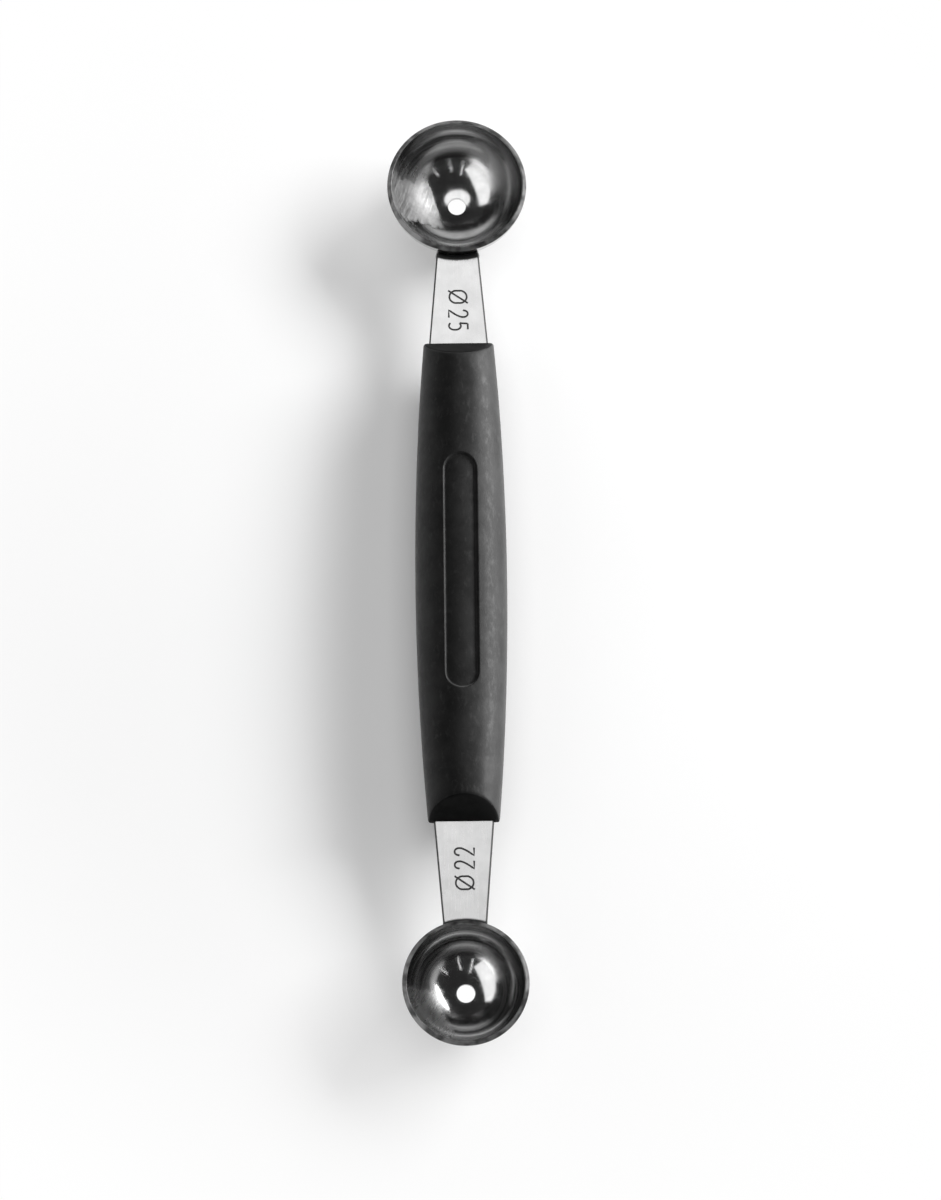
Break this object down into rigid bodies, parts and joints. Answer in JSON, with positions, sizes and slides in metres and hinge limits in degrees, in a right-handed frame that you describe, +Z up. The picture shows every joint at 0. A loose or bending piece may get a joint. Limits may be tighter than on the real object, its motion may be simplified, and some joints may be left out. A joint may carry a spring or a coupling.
{
  "type": "melon baller",
  "caption": "Double-ended melon baller: a hemispherical steel scoop with a drain hole on each end, welded to flat steel stems in a moulded black handle.",
  "frame": {"origin": "centre of the tool's footprint, at the height of the drain hole's lower edge under the 25 mm bowl", "axes": "+Y along the tool towards the 25 mm bowl, +Z up, out of both bowls' open mouths"},
  "size_m": [0.025, 0.169, 0.0166],
  "materials": {
    "polished_steel": "mirror polished",
    "stem_steel": "satin",
    "core_plastic": "matte",
    "grip_plastic": "satin, fine grained"
  },
  "bodies": {
    "root": {"large_bowl": "polished_steel", "small_bowl": "polished_steel", "large_stem": "stem_steel", "small_stem": "stem_steel", "handle_core": "core_plastic", "grip": "grip_plastic"}
  },
  "joints": []
}
